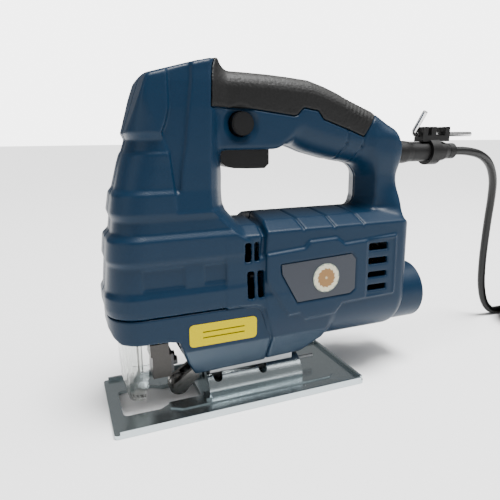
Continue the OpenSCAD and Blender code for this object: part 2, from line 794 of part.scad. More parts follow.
module brush_holders() color([0.55, 0.42, 0.2]) translate([0, 0, motor_z]) for (side = [0, 180])
    rotate([side, 0, 0]) difference() {
        box([brush_x[0] - 1.2, -4.2, 11.2], [brush_x[1] + 1.2, 4.2, 24.2]);
        box([brush_x[0] - 0.05, -2.55, 10], [brush_x[1] + 0.05, 2.55, 23]);
    }

module carbon_brushes() color([0.2, 0.2, 0.2]) translate([0, 0, motor_z]) for (side = [0, 180])
    rotate([side, 0, 0]) difference() {
        box([brush_x[0], -2.5, 8.5], [brush_x[1], 2.5, 21]);
        rod_x(-110, -80, 9.6);
    }

// ---------- controls ----------

module trigger() color([0.08, 0.08, 0.09]) difference() {
    slab_y(-9, 9) polygon([
        [7.8, trigger_top], [7.8, 143], [5, 140.3], [0, 139], [-8, 138.6], [-19, 138.5], [-21.8, 141],
        [-21.8, trigger_top]
    ]);
    rod_z(147, 160, 3.4, -7);
}

// Coil spring drawn as a stack of rings joined by a thin sleeve
module spring_z(z0, z1, r, x, y = 0) color(steel_colour) difference() {
    union() {
        rod_z(z0, z1, r - 0.35, x, y);
        for (k = [0 : 4]) translate([x, y, z0 + 0.5 + (z1 - z0 - 1) * k / 4])
            rotate_extrude() translate([r - 0.5, 0]) circle(r = 0.5, $fn = 16);
    }
    rod_z(z0 - 1, z1 + 1, r - 0.8, x, y);
}

module trigger_spring() spring_z(147.1, 159.4, 3, -7);

module lock_button() color([0.08, 0.08, 0.09]) difference() {
    union() {
        rod_y(lock_inner_y, 19.6, 6.3, lock_at[0], lock_at[1]);
        rod_y(19.5, 20, 5.6, lock_at[0], lock_at[1]);
    }
    rod_y(10, 16.5, 2.9, lock_at[0], lock_at[1]);
}

module lock_spring() translate([lock_at[0], 0, lock_at[1]]) rotate([-90, 0, 0]) spring_z(8.1, 16.4, 2.5, 0);

// The switch stands clear of the lock button by more than the button's travel
module switch_body() color([0.12, 0.12, 0.13]) union() {
    box([-36, -8, 159.5], [6, lock_inner_y - lock_travel - 2.4, 181]);
    box([-40, -3, 163], [-35.9, 3, 176]);
}

module capacitor() color([0.75, 0.6, 0.15]) box([-56, -5, 158], [-42, 5, 172]);

module cord_clamp() color([0.12, 0.12, 0.13]) difference() {
    box([-95.5, -10.5, 148.2], [-89.5, 10.5, 153]);
    rod_x(-100, -80, 3.05, z = 146.6);
    for (y = [-7.5, 7.5]) rod_z(140, 160, 1.6, -92.5, y);
}

module cord_clamp_screws() color(steel_colour) for (y = [-7.5, 7.5]) {
    rod_z(145, 153.1, 1.5, -92.5, y);
    rod_z(153, 155, 2.8, -92.5, y);
}

// ---------- cord and what is on it ----------

module strain_relief() color(rubber_colour) difference() {
    union() {
        rod_x(-125, -103.2, 7.5, z = relief_z);
        translate([-125, 0, relief_z]) rotate([0, -90, 0]) cylinder(h = 5, r1 = 7.5, r2 = 6.6);
        rod_x(-158, -129.9, 6.6, z = relief_z);
        translate([-158, 0, relief_z]) rotate([0, -90, 0]) cylinder(h = 5, r1 = 6.6, r2 = 5.2);
        rod_x(-168, -162.9, 5.4, z = relief_z);
    }
    rod_x(-170, -100, cord_d / 2, z = relief_z);
}

module key_holder() color(rubber_colour) difference() {
    union() {
        rod_x(-152, -144, 9, z = relief_z);
        box([-161, -4.5, 152.2], [-138, 4.5, 156.2]);
        for (x = [-161, -149, -142]) box([x, -4.5, 156], [x + 4, 4.5, 162]);
    }
    rod_x(-170, -110, 6.62, z = relief_z);
    rod_x(-170, -130, 1.76, z = key_z);
    box([-170, -1.2, key_z], [-130, 1.2, 170]);
}

// The key lies in its holder with the short arm leaning to the operator's left
module hex_key() color([0.8, 0.8, 0.82]) translate([0, 0, key_z]) rotate([-key_lean, 0, 0]) {
    translate([-184, 0, 0]) rotate([0, 90, 0]) cylinder(h = 48, r = 1.73, $fn = 6);
    translate([-136, 0, 3.5]) rotate([90, 0, 0]) rotate([0, 0, -90])
        rotate_extrude(angle = 90, $fn = 32) translate([3.5, 0]) circle(r = 1.6, $fn = 24);
    rod_z(3.5, 18, 1.6, -132.5);
}

// Route of the cord: out of the strain relief, down beside the dust port's hose space, to the coil
cord_route = [
    [-86, 0, 145.5], [-108, 0, 145.5], [-150, 0, 145.5], [-168, 0, 145.5], [-182, 0, 145], [-197, -1, 142],
    [-210, -4, 135], [-221, -9, 123], [-228.5, -15, 108], [-233, -20, 90], [-236, -23.5, 70],
    [-238.5, -26, 50], [-241, -27, 30], [-246, -27, 14], [-254, -27, 5], [-262, -27, 3], [-285, -27, 3]
];
coil_at = [-285, 9];
coil_r = [27, 39];
coil_h = 30.2;
plug_at = [-340, -18, 8];

// Ring k of a tube along a path that never runs along Y
function tube_ring(path, k, r, sides) =
    let (
        d = path[min(k + 1, len(path) - 1)] - path[max(k - 1, 0)],
        up = [-d[2], 0, d[0]] / norm([d[2], 0, d[0]]), side = cross(d, up) / norm(d)
    )
    [for (a = [0 : 360 / sides : 359]) path[k] + r * (cos(a) * up - sin(a) * side)];

module cord_tube() color(rubber_colour)
    loft([for (k = [0 : len(cord_route) - 1]) tube_ring(cord_route, k, cord_d / 2 - 0.02, 12)]);

module cord_coil() color(rubber_colour) translate([coil_at[0], coil_at[1], 0]) rotate_extrude()
    translate([coil_r[0], 0]) square([coil_r[1] - coil_r[0], coil_h]);

module cord_tie() color([0.1, 0.1, 0.1])
    translate([coil_at[0] - (coil_r[0] + coil_r[1]) / 2, coil_at[1], 0]) difference() {
        box([-8, -3, 0], [8, 3, coil_h + 1]);
        box([-6.2, -4, -1], [6.2, 4, coil_h + 0.05]);
    }

// The plug lies behind the coil, its pins pointing to the rear
module mains_plug() color([0.08, 0.08, 0.09]) translate(plug_at) mirror([1, 0, 0]) {
    translate([14, 0, 0]) hull() {
        box([0, -10, -6], [2, 10, 6]);
        box([14, -17, -8], [24, 17, 8]);
    }
    rod_x(-6, 14.5, 5);
    color(steel_colour) for (y = [-9.5, 9.5]) rod_x(37.9, 57, 2.4, y);
}

housing_left();
housing_right();
front_shroud();
grip_left();
grip_right();
blade_guard();
touch_pin();
dust_port();
dust_duct();
name_plate();
emblem_disc();
rating_plate();
yellow_sticker();
housing_screws();
sole_plate();
base_bracket();
clamp_saddle();
clamp_screws();
gearbox_casting();
lower_bushing();
upper_bushing();
plunger_rod();
plunger_yoke();
blade_holder();
blade_clamp_plate();
blade_clamp_screws();
roller_fork();
guide_roller();
roller_pin();
drive_gear();
gear_shaft();
gear_retaining_ring();
crank_roller();
armature_shaft();
armature_core();
armature_winding();
commutator();
cooling_fan();
front_bearing();
rear_bearing();
stator_core();
field_coils();
brush_holders();
carbon_brushes();
trigger();
trigger_spring();
lock_button();
lock_spring();
switch_body();
capacitor();
cord_clamp();
cord_clamp_screws();
strain_relief();
key_holder();
hex_key();
cord_tube();
cord_coil();
cord_tie();
mains_plug();
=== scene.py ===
"""Looks of a corded jigsaw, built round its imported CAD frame. Shapes are written in millimetres."""

import math

import bpy
import numpy as np
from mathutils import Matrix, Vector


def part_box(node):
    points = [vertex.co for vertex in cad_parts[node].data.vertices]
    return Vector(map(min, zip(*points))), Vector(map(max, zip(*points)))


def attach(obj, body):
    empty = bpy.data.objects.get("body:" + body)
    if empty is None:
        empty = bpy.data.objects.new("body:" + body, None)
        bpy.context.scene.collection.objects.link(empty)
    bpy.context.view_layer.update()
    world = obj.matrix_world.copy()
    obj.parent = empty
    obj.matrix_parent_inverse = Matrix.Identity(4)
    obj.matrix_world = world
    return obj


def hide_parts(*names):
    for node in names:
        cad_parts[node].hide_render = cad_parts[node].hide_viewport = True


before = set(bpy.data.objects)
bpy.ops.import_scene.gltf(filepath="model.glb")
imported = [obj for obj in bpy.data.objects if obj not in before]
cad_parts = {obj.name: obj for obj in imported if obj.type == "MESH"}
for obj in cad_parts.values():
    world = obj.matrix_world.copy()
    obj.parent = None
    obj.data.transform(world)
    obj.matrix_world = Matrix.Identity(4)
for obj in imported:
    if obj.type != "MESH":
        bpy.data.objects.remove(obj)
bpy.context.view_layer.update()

import openvdb
from mathutils import Matrix, Vector

MM = 0.001
# Spacing of the points at which the casing's distance fields are worked out
VOXEL = 0.55


# ---------- camera and cord ----------

CAMERA_AT = (0.09216, 0.26388, 0.15425)
AZIMUTH, ELEVATION, ROLL = (math.radians(degrees) for degrees in (158.3, 13.1, -0.7))


def add_camera():
    """A camera at the same angle as the picture, to the left of the tool and a little above it."""
    level = math.cos(ELEVATION)
    back = Vector((math.sin(AZIMUTH) * level, -math.cos(AZIMUTH) * level, math.sin(ELEVATION)))
    right = (-back).cross(Vector((0, 0, 1))).normalized()
    up = right.cross(-back)
    turned_right = right * math.cos(ROLL) + up * math.sin(ROLL)
    turned_up = up * math.cos(ROLL) - right * math.sin(ROLL)
    data = bpy.data.cameras.new("photo_camera")
    data.lens, data.sensor_width = 33.84, 36
    data.clip_start, data.clip_end = 0.01, 50
    camera = bpy.data.objects.new("photo_camera", data)
    camera.matrix_world = Matrix((turned_right, turned_up, back)).transposed().to_4x4()
    camera.location = CAMERA_AT
    bpy.context.scene.collection.objects.link(camera)
    bpy.context.scene.camera = camera


def smooth(t):
    """Rises smoothly from 0 to 1 as t does, and stays there."""
    t = np.clip(t, 0, 1)
    return t * t * (3 - 2 * t)


def rounded_path(points, spacing):
    """Points about that far apart on a smooth curve through the given points."""
    p = np.array(points, float)
    p = np.vstack([2 * p[0] - p[1], p, 2 * p[-1] - p[-2]])
    made = []
    for a, b, c, d in zip(p[:-3], p[1:-2], p[2:-1], p[3:]):
        n = max(2, int(np.linalg.norm(c - b) / spacing))
        for t in np.arange(n) / n:
            squared, cubed = 2 * a - 5 * b + 4 * c - d, 3 * b - a - 3 * c + d
            made.append(0.5 * (2 * b + (c - a) * t + squared * t**2 + cubed * t**3))
    return np.array(made + [p[-2]])


# Sizes of the cord and of its tied coil
CORD_R = 3
COIL_AT = (-285, 9)
COIL_IN, COIL_OUT = 30, 36
# Rise of one turn over the next, and the height of the last turn that goes up
COIL_RISE, COIL_TOP = 6.05, 27.2
POINTS_A_TURN = 60
UP_TURNS, DOWN_TURNS = 4, 3


def coil_path():
    """The tied coil: a flat turn at the bottom, four turns up inside, then three down outside."""
    made = []
    for count in range((1 + UP_TURNS + DOWN_TURNS) * POINTS_A_TURN):
        turn, u = divmod(count / POINTS_A_TURN, 1)
        if turn == 0:
            r, z = COIL_OUT - (COIL_OUT - COIL_IN) * smooth((u - 0.75) / 0.25), CORD_R
        elif turn <= UP_TURNS:
            r, z = COIL_IN, CORD_R + COIL_RISE * (turn - 1 + smooth(u / 0.7))
        else:
            down = turn - UP_TURNS - 1
            r = COIL_IN + (COIL_OUT - COIL_IN) * (smooth(u / 0.25) if down == 0 else 1)
            z = COIL_TOP - COIL_RISE * (down + smooth((u - 0.25) / 0.75))
        angle = -math.pi / 2 - 2 * math.pi * u
        made.append([COIL_AT[0] + r * math.cos(angle), COIL_AT[1] + r * math.sin(angle), z])
    return np.array(made)


# The cord from inside the handle down to the coil, and from the coil to the plug
CORD_ROUTE = [
    (-86, 0, 145.5), (-108, 0, 145.5), (-150, 0, 145.5), (-168, 0, 145.5), (-182, 0, 145),
    (-197, -1, 142), (-210, -4, 135), (-221, -9, 123), (-228.5, -15, 108), (-233, -20, 90),
    (-236, -23.5, 70), (-238.5, -26, 50), (-241, -27, 30), (-246, -27, 14), (-254, -27, 5),
    (-262, -27, 3), (-285, -27, 3),
]
CORD_END = [
    (-285, -27, 9.05), (-292, -27, 9.05), (-300, -26.8, 9.05), (-310, -25, 9), (-320, -22, 8.5),
    (-330, -19, 8.1), (-340, -18, 8),
]


def add_cord():
    """The whole mains cord as one curve, and its length in metres."""
    path = np.vstack([rounded_path(CORD_ROUTE, 4)[:-1], coil_path(), rounded_path(CORD_END, 4)])
    curve = bpy.data.curves.new("mains_cord", "CURVE")
    curve.dimensions = "3D"
    curve.bevel_depth = 1
    curve.bevel_resolution = 5
    curve.use_fill_caps = True
    spline = curve.splines.new("POLY")
    spline.points.add(len(path) - 1)
    spline.points.foreach_set("co", np.hstack([path * MM, np.ones((len(path), 1))]).ravel())
    spline.points.foreach_set("radius", [CORD_R * MM] * len(path))
    spline.use_smooth = True
    cord = bpy.data.objects.new("mains_cord", curve)
    bpy.context.scene.collection.objects.link(cord)
    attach(cord, "machine")
    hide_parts("cord_tube", "cord_coil")
    steps = np.diff(path, axis=0)
    length = float(np.linalg.norm(steps, axis=1).sum()) * MM
    return cord, length


# ---------- shapes as distance fields ----------


def axes(low, high, voxel):
    """The three coordinates of a block of points, ready to be combined."""
    x, y, z = (np.arange(a, b + voxel, voxel, dtype=np.float32) for a, b in zip(low, high))
    return x[:, None, None], y[None, :, None], z[None, None, :]


def meet(a, b, r=0.0):
    """Where both shapes are, with the edge between them rounded to r."""
    return np.minimum(np.maximum(a, b), -r) + np.hypot(np.maximum(a + r, 0), np.maximum(b + r, 0))


def join(a, b, r=0.01):
    """Either shape, with the inner corner between them filled to r."""
    return np.maximum(np.minimum(a, b), r) - np.hypot(np.maximum(r - a, 0), np.maximum(r - b, 0))


def cut(a, b, r=0.0):
    """The first shape without the second, with the edge rounded to r."""
    return meet(a, -b, r)


def step(v, width):
    """Rises from 0 to 1 over a width centred on 0."""
    return np.clip(v / width + 0.5, 0, 1)


def line_at(v, table, column=1):
    """A table's value at v, by straight lines from row to row."""
    return np.interp(v, [row[0] for row in table], [row[column] for row in table]).astype(np.float32)


def outline(points, a, b):
    """Distance to a closed outline in one plane, negative inside."""
    nearest, inside = np.float32(1e9), False
    for (a0, b0), (a1, b1) in zip(points, points[1:] + points[:1]):
        ea, eb = a1 - a0, b1 - b0
        t = np.clip(((a - a0) * ea + (b - b0) * eb) / (ea * ea + eb * eb), 0, 1)
        nearest = np.minimum(nearest, (a - a0 - t * ea) ** 2 + (b - b0 - t * eb) ** 2)
        if abs(eb) > 1e-9:
            inside = inside ^ (((b0 > b) != (b1 > b)) & (a < a0 + ea * (b - b0) / eb))
    return np.where(inside, -1, 1) * np.sqrt(nearest)


def block(p, low, high, r=0.0):
    """A box between two corners with edges rounded to r."""
    q = [np.abs(v - (a + b) / 2) - (b - a) / 2 + r for v, a, b in zip(p, low, high)]
    outside = np.sqrt(sum(np.maximum(v, 0) ** 2 for v in q))
    return outside + np.minimum(np.maximum(np.maximum(q[0], q[1]), q[2]), 0) - r


def rod(p, axis, at, r, low, high):
    """A round rod along one axis."""
    u, v = [p[i] - c for i, c in zip([i for i in range(3) if i != axis], at)]
    return meet(np.hypot(u, v) - r, np.abs(p[axis] - (low + high) / 2) - (high - low) / 2)


def blur(field):
    """Takes the sharpness of one voxel off every edge."""
    for axis in range(3):
        f = np.moveaxis(field, axis, 0)
        f[1:-1] = 0.25 * f[:-2] + 0.5 * f[1:-1] + 0.25 * f[2:]


def skin(name, field, low, node, slot, materials, mirrored=False):
    """Turns a distance field into one mesh piece that stands for a CAD node of the machine's body."""
    reach = 3 * VOXEL
    grid = openvdb.FloatGrid(reach)
    grid.copyFromArray(np.clip(field, -reach, reach).astype(np.float32))
    points, triangles, quads = grid.convertToPolygons(isovalue=0.0, adaptivity=0.0)
    points = points.astype(float) * VOXEL + np.array(low, float)
    if mirrored:
        points[:, 1] *= -1
    order = slice(None) if mirrored else slice(None, None, -1)
    faces = [tuple(face) for group in (triangles, quads) for face in group[:, order].tolist()]
    mesh = bpy.data.meshes.new(name)
    mesh.from_pydata((points * MM).tolist(), [], faces)
    mesh.validate()
    mesh.polygons.foreach_set("use_smooth", [True] * len(mesh.polygons))
    mesh.set_sharp_from_angle(angle=math.radians(40))
    mesh.materials.append(materials[slot])
    piece = bpy.data.objects.new(name, mesh)
    bpy.context.scene.collection.objects.link(piece)
    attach(piece, "machine")
    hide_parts(node)


# ---------- casing ----------

# Height, front x on the middle plane and half width of the nose, with the chamfers of its steps
NOSE = [
    (16, 75.6, 11.5), (18.4, 75.6, 13), (40, 75.5, 26.2), (54.7, 75.5, 26.9), (62.5, 75.6, 27.2),
    (66.9, 76.4, 27.7), (73.9, 76.4, 27.9), (76.7, 75.0, 26.6), (90.6, 73.5, 26.9), (93.6, 74.3, 28.5),
    (104.4, 73.0, 28.4), (107.6, 70.1, 26.3), (114.2, 69.1, 25.8), (117.8, 70.3, 27.0),
    (127.7, 68.5, 26.4), (130.3, 66.6, 24.9), (142.9, 63.1, 24.3), (147.9, 61.4, 24.3),
    (149.6, 60.2, 23.5), (155.4, 58.3, 23.2), (158.8, 59.5, 24.7), (170.8, 55.0, 23.9), (177, 52.8, 23.4),
    (186, 49.4, 22.4), (191, 47.4, 21.4), (204, 42, 20),
]
# Height and half width of the column behind the nose's steps
COLUMN = [
    (112, 27), (118, 26.4), (129, 24.6), (143, 24.0), (155, 23.8), (171, 23.4), (184, 22.4), (190, 21.4),
    (204, 20),
]
# Height and x of the two edges of the shallow channel between nose and column
RIDGE = [
    (125, 38), (130, 38), (148.5, 39.7), (155.5, 42.2), (158.9, 43), (163.8, 40.8), (171, 38.9),
    (204, 38.3),
]
CHANNEL = [(125, 35.5), (130, 34.9), (140, 33.8), (152.6, 31.2), (168.8, 29.2), (183.4, 26.8), (204, 25)]
# Height and x of the column's rear on the middle plane
COLUMN_BACK = [
    (60, -12), (99, -8), (104, -4), (109.8, 0.4), (116.2, 5.4), (124, 6.2), (134, 5.6), (150, 6.2),
    (204, 7),
]
# Height and x where the column's side turns into its bevelled rear edge
STRIP = [(60, -8), (99, -2), (104, 4.5), (117, 17.5), (119.5, 19), (125, 19), (171, 17), (204, 16)]
# X and height along the top of the nose, and along the handle's top and lower edge
ROOF = [(4, 198.3), (12.1, 197.5), (20.8, 196), (46.2, 189.4), (60, 185.8)]
HANDLE_TOP = [
    (-112, 157), (-108, 161.3), (-102, 165.1), (-96, 168.8), (-89.6, 172.5), (-80.5, 176), (-72, 179.4),
    (-65, 182.6), (-56, 186), (-46, 189), (-33, 190.3), (-21, 191.2), (-8, 191.8), (4, 192.2),
    (20, 192.5),
]
HANDLE_LOW = [
    (-114, 134), (-104, 132), (-96, 133), (-85, 137.5), (-81, 139.4), (-61.9, 143), (-46.9, 147),
    (-36, 151.4), (-29, 151.6), (-25, 149.8), (-22, 149.3), (16, 149.3),
]
# Height and x of the rear post's two edges
POST_BACK = [
    (92, -110.5), (104, -112), (113, -112.8), (118, -113), (131, -111.9), (143, -110.4), (150, -110),
    (158, -109.5),
]
POST_FRONT = [(92, -80), (112, -84.5), (118, -86.3), (131, -86.4), (138, -85.6), (150, -82)]
# Side outlines, in (x, z)
PANEL = [
    (-11, 91), (-35.7, 92.7), (-39.4, 96.3), (-56.9, 96.9), (-62.4, 92.8), (-78.3, 93.7), (-100, 95.3),
    (-100.2, 58.2), (-76.9, 57.5), (-61.6, 56.8), (-57.2, 50.8), (-36.8, 49.8), (-32.9, 54.8),
    (-25.7, 54.3), (-11, 77.7),
]
PLATE = [(-20, 85), (-67.5, 87), (-70.5, 83.5), (-70.5, 64.5), (-67, 62), (-30.5, 61), (-20.4, 79.5)]
GRIP_LINE = [
    (16.6, 171.4), (-10, 170.7), (-34.5, 167.5), (-36.5, 168), (-40.5, 172), (-50, 170.4), (-53.5, 165.7),
    (-71, 159.7), (-82, 155.5), (-86, 161.4), (-89.3, 166), (-94.2, 170.1), (-104, 215), (11.5, 215),
    (11.5, 197.5), (14.3, 192), (15.5, 186),
]
SHROUD = [
    (90, 62.5), (90, 54), (75.5, 54), (73.9, 50.8), (70.3, 47.8), (45.8, 47.1), (39.7, 45.8),
    (34.4, 30.2), (30.9, 22.9), (28.4, 18.6), (-17, 19.8), (-16, 39), (-11.6, 55), (-10.4, 58.6),
    (-8.3, 61.2), (-5.4, 62.3), (0, 62.5),
]
FOOT = [(-17.3, 19.8), (-41.3, 20.8), (-53.6, 31.6), (-60, 70), (0, 70), (0, 19.8)]
SHROUD_HOLLOW = [
    (80, 80), (80, 49.6), (37.5, 49.6), (31.5, 30.6), (28, 23), (26, 10), (-20, 10), (-20, 80),
]
# Air slots next to the nose, as x from and to and z from and to, then places in (x, z)
SLOTS = [(-2.8, 1, 88, 99), (-7.8, -4.8, 88, 99), (-4.4, -0.4, 66.5, 82.3), (-10.4, -6.6, 66.5, 82.3)]
SCREWS = [(30, 181), (20, 151), (64, 100), (64, 80), (-30, 104), (-92, 104), (-99, 129), (-62, 155.5)]
LOCK = (-2, 163.2)

# Sizes of the casing
WALL = 2.8
GRIP_DEPTH = 1.5
MOTOR_R, BRIDGE_R = 30, 27.6
MOTOR_TOP_GROOVES = (-34.8, -55.3, -75.8)
SIDE_WINDOWS = ((1.2, 24.3, 78.5, 89), (35.5, 57.5, 78, 89.2))
HANDLE_HALF_W, POST_HALF_W = 17, 16
HANDLE_LINES = ([(-70.9, 160.6), (-70.3, 152.2), (-65.2, 140)], [(-82.4, 156.3), (-81.4, 150.3), (-75, 137)])
VENTS = ((61.2, 65), (69.7, 73.3), (78.2, 82.3), (87.1, 91.6))
RATING_X, RATING_Z = (-70, -25), (62, 86)
PLATE_SEAT_Y = 29.35
CORD_Z, PORT_Z = 145.5, 48.5


def nose_field(x, y, z):
    """Nose and column, with the nose's steps, the channel between the two and two shallow side windows."""
    stepped = line_at(z, NOSE, 2)
    plain = line_at(z, COLUMN)
    proud = step(x - line_at(z, RIDGE), 1.4)
    sunk = step(x - line_at(z, CHANNEL), 1.2) * (1 - proud) * smooth((z - 127) / 3)
    upper = plain + (stepped - plain) * proud - 1.7 * sunk
    half = stepped + (upper - stepped) * step(z - 117.8, 1.5)
    for x0, x1, z0, z1 in SIDE_WINDOWS:
        inside = np.minimum(np.minimum(x - x0, x1 - x), np.minimum(z - z0, z1 - z))
        half = half - 0.9 * step(inside, 0.9)
    side = y - half
    front = (x - line_at(z, NOSE)) * 0.94
    corner_r = 2 + 15 * smooth((182 - z) / 30)
    nose = meet(side, front, corner_r)
    nose = meet(nose, (z - line_at(x, ROOF) + 0.004 * y * y) * 0.97, 1.6)
    back = (line_at(z, COLUMN_BACK) - x) * 0.97
    bevel = line_at(z, STRIP) - x
    nose = np.maximum(nose, 0.68 * (side + bevel))
    nose = meet(nose, 0.86 * (bevel - 5.5) + 0.47 * (side + 5.5), 0.8)
    nose = meet(nose, back, 3.0)
    return meet(nose, 60.5 - z)


def motor_field(x, y, z):
    """Motor housing with its sunk panel and top grooves, and the narrower bridge between it and the nose."""
    recess = 1.5 * step(outline(PANEL, x, z) - 0.6, 1.4)
    vent_frame = np.minimum(np.minimum(x + 99.5, -78.8 - x), np.minimum(z - 58, 94.2 - z))
    recess = recess + 0.8 * step(vent_frame, 0.9)
    round_low = np.hypot(y, np.minimum(z - 56, 0)) - MOTOR_R + recess
    top = np.maximum(z - 113.0 + 0.17 * y, 0.49 * (y - 19.5) + 0.872 * (z - 109.4))
    for groove in MOTOR_TOP_GROOVES:
        top = top + 0.9 * smooth(1.3 - np.abs(x - groove + 0.13 * (y - 24)) / 0.9)
    motor = meet(round_low, top, 0.8)
    motor = meet(motor, x + 11.2, 1.2)
    motor = meet(motor, -113 - x, 8.0)
    bridge_top = np.maximum(z - 110.6 + 0.15 * y, 0.49 * (y - 19.5) + 0.872 * (z - 107.4))
    bridge = meet(y - BRIDGE_R, bridge_top, 0.8)
    bridge = meet(bridge, np.maximum(-14 - x, x - 12), 0.5)
    bridge = meet(bridge, 50 - z)
    bridge = np.maximum(bridge, np.hypot(y, np.minimum(z - 56, 0)) - BRIDGE_R)
    lower = join(motor, bridge, 0.3)
    slit = np.abs(x + 10.4 + 0.1 * (z - 100)) - 1.3 - 0.7 * smooth((z - 106) / 4)
    return lower + 2.3 * step(-slit, 1.0) * smooth((z - 88) / 4)


def bow_field(x, y, z, top_line):
    """Handle and rear post."""
    low_r = 2.5 + 11.5 * smooth((-26 - x) / 16)
    handle = meet(y - HANDLE_HALF_W, (z - top_line + 0.011 * y * y) * 0.95, 7.0)
    handle = meet(handle, (line_at(x, HANDLE_LOW) - z) * 0.96, low_r)
    handle = meet(handle, np.maximum(x - 14, -112 - x), 3.0)
    flare = y - POST_HALF_W - 7.5 * smooth((128 - z) / 22) * np.clip((-94 - x) / 16, 0, 1)
    front = (x - line_at(z, POST_FRONT) + 0.42 * np.abs(y)) * 0.92
    post = meet(meet(flare * 0.9, front, 1.2), (line_at(z, POST_BACK) - x) * 0.99, 8.0)
    post = meet(meet(post, z - 158, 4.0), 90 - z)
    return meet(join(handle, post, 6.0), -113 - x)


def fine_lines(body, x, z):
    """Two narrow grooves round the handle."""
    for line in HANDLE_LINES:
        for (x0, z0), (x1, z1) in zip(line, line[1:]):
            t = np.clip(
                ((x - x0) * (x1 - x0) + (z - z0) * (z1 - z0)) / ((x1 - x0) ** 2 + (z1 - z0) ** 2), 0, 1
            )
            away = np.hypot(x - x0 - t * (x1 - x0), z - z0 - t * (z1 - z0))
            body = body + 0.8 * step(0.55 - away, 0.6)
    return body


def grip_ribs(x, z, depth):
    """Upright ribs along the grip's flank and slanted ones at its rear end."""
    upright = 0.5 * np.maximum(np.cos(2 * np.pi * x / 2.6), -0.3)
    upright = upright * step(x + 46, 2) * step(4 - x, 2) * step(depth - 5.5, 1.5) * step(14 - depth, 1.5)
    slanted = 0.6 * np.maximum(np.cos(2 * np.pi * (x + 0.6 * z) / 3.2), -0.3)
    return upright + slanted * step(-68 - x, 2) * step(x + 88, 2) * step(13 - depth, 2)


def open_shell(housing, whole, p):
    """The housing hollowed out, with the openings that both halves have."""
    x, y, z = p
    shell = np.maximum(housing, -(whole + WALL))
    for x0, x1, z0, z1 in SLOTS:
        shell = cut(shell, block(p, (x0, 20, z0), (x1, 40, z1), 0.6), 0.4)
    for z0, z1 in VENTS:
        shell = cut(shell, block(p, (-94.5, 20, z0), (-80.5, 40, z1), 0.5), 0.4)
    shell = cut(shell, np.maximum(outline(PLATE, x, z) - 0.45, PLATE_SEAT_Y - y), 0.0)
    shell = cut(shell, block(p, (-22.6, -9.6, 140), (8.6, 9.6, 158), 0.8), 0.4)
    shell = cut(shell, rod(p, 0, (0, CORD_Z), 7.6, -130, -103))
    shell = cut(shell, rod(p, 0, (0, PORT_Z), 20.1, -130, -103.5))
    return np.maximum(shell, -block(p, (-62, -12, 10), (80, 60, 19.4)))


def right_shell(shell, whole, p):
    """The right half's own features: screw bosses with counterbores and the seat of the rating plate."""
    for at in SCREWS:
        shell = np.minimum(shell, np.maximum(rod(p, 1, at, 5.4, 6, 40), whole + 0.8))
        shell = cut(shell, rod(p, 1, at, 3.8, 11.5, 40), 0.4)
    low, high = zip(RATING_X, (PLATE_SEAT_Y, 40), RATING_Z)
    return cut(shell, block(p, low, high))


def casing_fields():
    """Distance fields of the left half: the whole outside, and each piece of it."""
    low, high = (-116.0, -1.4, 14.0), (80.0, 33.0, 202.0)
    p = x, y, z = axes(low, high, VOXEL)

    body = join(nose_field(x, y, z), motor_field(x, y, z), 1.5)

    # foot behind the shroud, and the shroud itself
    flank = (y - line_at(z, [(14, 10.3), (18.4, 13), (40, 26.2), (64, 27.2)])) * 0.9
    nose_low = meet(flank, x - 75.6, 17.0)
    foot = meet(meet(flank, outline(FOOT, x, z), 3.0), z - 66)
    body = join(body, foot, 4.0)
    shroud_zone = outline(SHROUD, x, z)
    shroud = meet(meet(nose_low, shroud_zone, 0.9), -17.5 - x)
    top_line = line_at(x, HANDLE_TOP)
    body = join(body, bow_field(x, y, z, top_line), 3.0 + 5.0 * smooth((z - 168) / 6))

    # dished ring round the lock button
    ring = np.hypot(x - LOCK[0], z - LOCK[1])
    body = cut(body, np.maximum(ring - 10.4, 16.9 - (10.4 - ring) * 0.5 - y), 0.3)
    whole = fine_lines(body, x, z)

    # rubber grip, moulded over the casing
    zone = outline(GRIP_LINE, x, z)
    depth = top_line - z
    ribbed = whole + 0.35 * grip_ribs(x, z, depth) + 0.1 * step(12 - depth, 0.6)
    grip = np.maximum(meet(ribbed, zone + 0.2, 0.5), -(whole + GRIP_DEPTH))
    housing = np.minimum(cut(whole, zone - 0.2, 0.5), whole + (GRIP_DEPTH + 0.05))

    # the shroud's seam, with a lip behind it
    seam_lip = np.maximum(np.abs(shroud_zone) - 2, whole + 1.3)
    housing = np.minimum(cut(housing, shroud_zone - 0.4, 0.3), seam_lip)
    shroud = meet(shroud, shroud_zone + 0.3, 0.3)

    shell = open_shell(housing, whole, p)
    left = cut(shell, rod(p, 1, LOCK, 6.7, -2, 40), 0.3)
    right = right_shell(shell, whole, p)
    shroud = np.maximum(shroud, -np.maximum(outline(SHROUD_HOLLOW, x, z), nose_low + 2.2))
    for corner, far_corner in (((30, -12.2, 30), (66, 12.2, 55)), ((5, -10.2, 10), (40, 10.2, 45))):
        shroud = cut(shroud, block(p, corner, far_corner, 1.0), 0.3)
    seam = 0.12 - y
    fields = {"left": meet(left, seam, 0.3), "right": meet(right, seam, 0.3), "grip": meet(grip, seam, 0.3)}
    return low, {**fields, "shroud": shroud}


# ---------- finishes ----------


